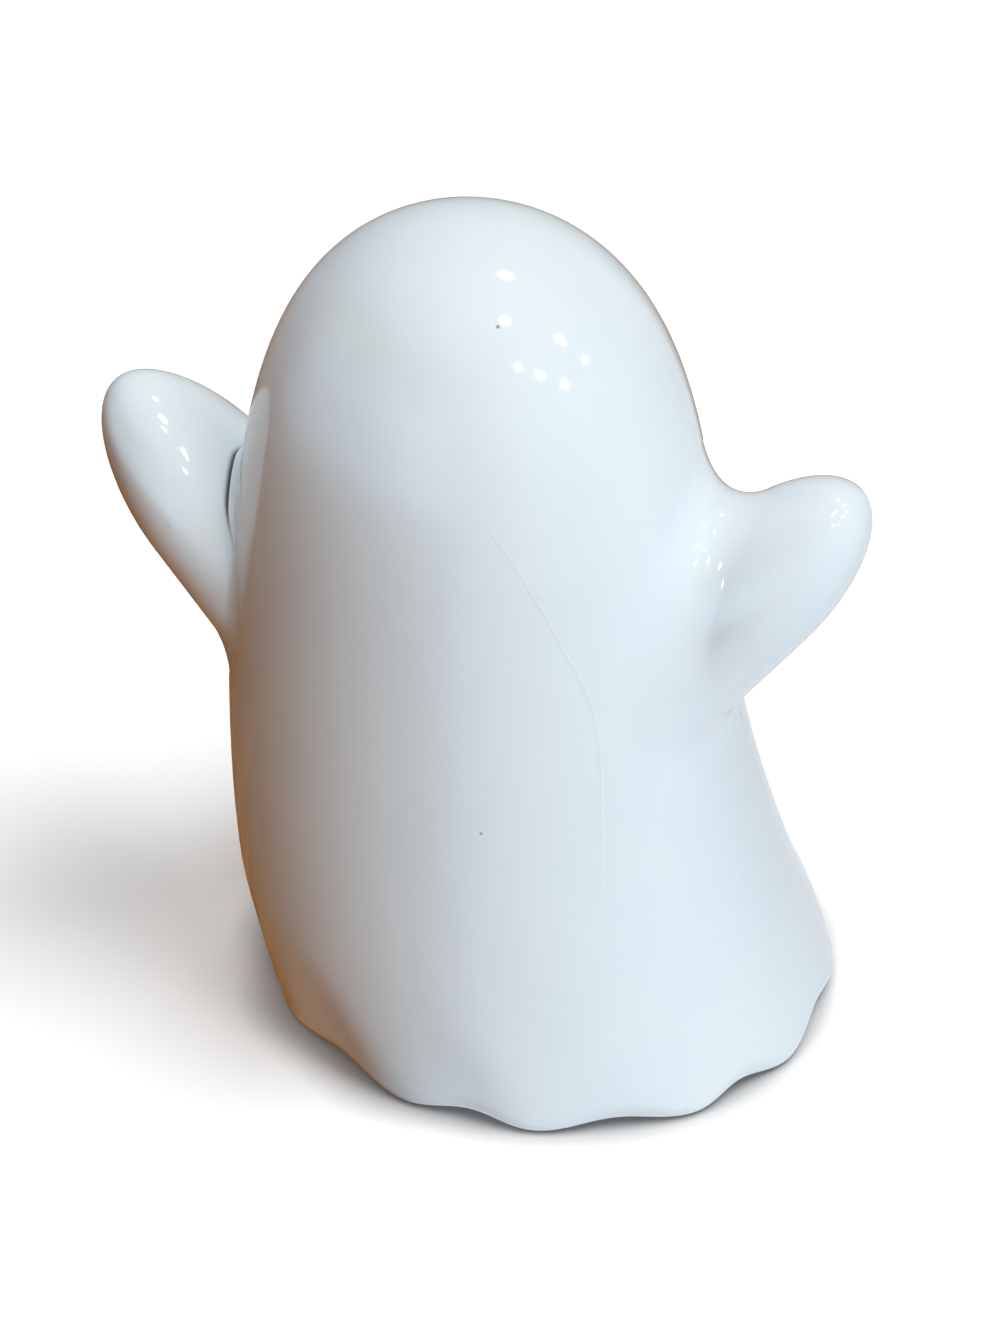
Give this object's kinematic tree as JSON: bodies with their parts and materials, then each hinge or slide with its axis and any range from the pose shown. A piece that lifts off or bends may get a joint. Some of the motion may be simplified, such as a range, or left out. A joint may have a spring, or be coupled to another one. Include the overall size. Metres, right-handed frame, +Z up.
{
  "type": "ceramic ghost figure",
  "caption": "Hollow glazed ceramic ghost with a domed head, raised stub arms and a scalloped hem swept to one side; it stands on its flat foot as a seasonal decoration.",
  "frame": {"origin": "on the table plane, under the middle of the figure's width and depth", "axes": "+Z up to the crown, -Y the way the face looks, +X to the figure's left arm"},
  "size_m": [0.1282, 0.091, 0.15],
  "materials": {
    "white_glaze": "gloss",
    "black_glaze": "gloss"
  },
  "bodies": {
    "root": {"body_shell": "white_glaze", "left_arm": "white_glaze", "right_arm": "white_glaze", "left_arm_luting": "white_glaze", "right_arm_luting": "white_glaze", "left_eye": "black_glaze", "right_eye": "black_glaze", "mouth": "black_glaze"}
  },
  "joints": []
}
